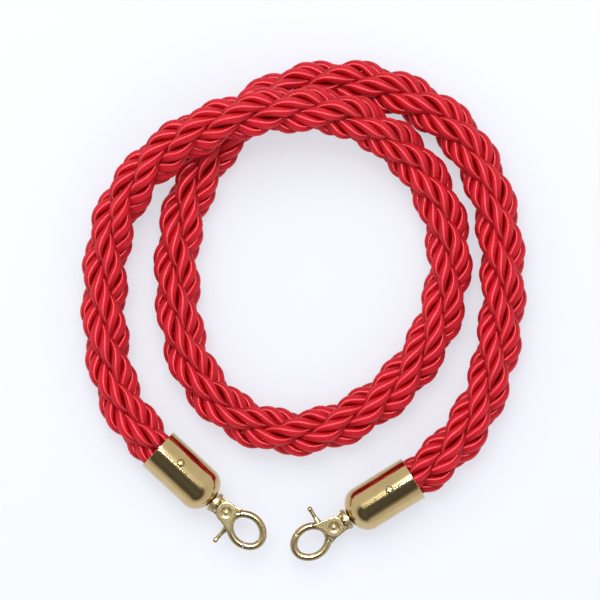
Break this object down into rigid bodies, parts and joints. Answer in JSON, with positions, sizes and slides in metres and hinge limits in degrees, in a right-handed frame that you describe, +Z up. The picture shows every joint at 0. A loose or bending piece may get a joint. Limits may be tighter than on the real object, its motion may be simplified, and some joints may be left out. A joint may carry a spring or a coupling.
{
  "type": "barrier rope",
  "caption": "Thick twisted satin barrier rope, lying in a loose turn and a half, with a domed metal cup and a swivel trigger hook on each end.",
  "frame": {"origin": "middle of the footprint of the two sets of end fittings, on the floor", "axes": "+X across from the left fitting to the right one, +Y from the fittings towards the loop, +Z up from the floor"},
  "size_m": [0.2961, 0.3331, 0.0617],
  "materials": {
    "rope_satin": "satin twisted cord",
    "cup_brass": "polished",
    "collar_brass": "polished",
    "hook_brass": "cast, plated, satin",
    "rivet_brass": "polished",
    "screw_brass": "plated",
    "binding_tape": "matt",
    "washer_steel": "zinc plated",
    "spring_steel": "drawn wire"
  },
  "bodies": {
    "root": {"rope": "rope_satin", "ferrule_a": "cup_brass", "rope_screw_a": "screw_brass", "rope_end_binding_a": "binding_tape", "swivel_collar_a": "collar_brass", "retaining_washer_a": "washer_steel", "ferrule_b": "cup_brass", "rope_screw_b": "screw_brass", "rope_end_binding_b": "binding_tape", "swivel_collar_b": "collar_brass", "retaining_washer_b": "washer_steel"},
    "hook_a": {"hook_body_a": "hook_brass", "pivot_rivet_a": "rivet_brass", "lever_spring_a": "spring_steel"},
    "lever_a": {"hook_lever_a": "hook_brass"},
    "hook_b": {"hook_body_b": "hook_brass", "pivot_rivet_b": "rivet_brass", "lever_spring_b": "spring_steel"},
    "lever_b": {"hook_lever_b": "hook_brass"}
  },
  "joints": [
    {"name": "hook_a_swivel", "type": "hinge", "parent": "root", "child": "hook_a", "pos_m": [-0.04458, -0.0046, 0.0152], "axis": [0.7325, -0.6807, 0], "continuous": true},
    {"name": "lever_a_pivot", "type": "hinge", "parent": "hook_a", "child": "lever_a", "pos_m": [-0.03835, -0.01039, 0.0152], "axis": [0, 0, -1], "range_deg": [0, 32], "stiffness_Nm_per_rad": 0.03, "springref_deg": -28.65, "deforming": ["lever_spring_a"]},
    {"name": "hook_b_swivel", "type": "hinge", "parent": "root", "child": "hook_b", "pos_m": [0.04061, -0.01569, 0.0152], "axis": [-0.8508, -0.5255, 0], "continuous": true},
    {"name": "lever_b_pivot", "type": "hinge", "parent": "hook_b", "child": "lever_b", "pos_m": [0.03338, -0.02016, 0.0152], "axis": [0, 0, -1], "range_deg": [0, 32], "stiffness_Nm_per_rad": 0.03, "springref_deg": -28.65, "deforming": ["lever_spring_b"]}
  ]
}
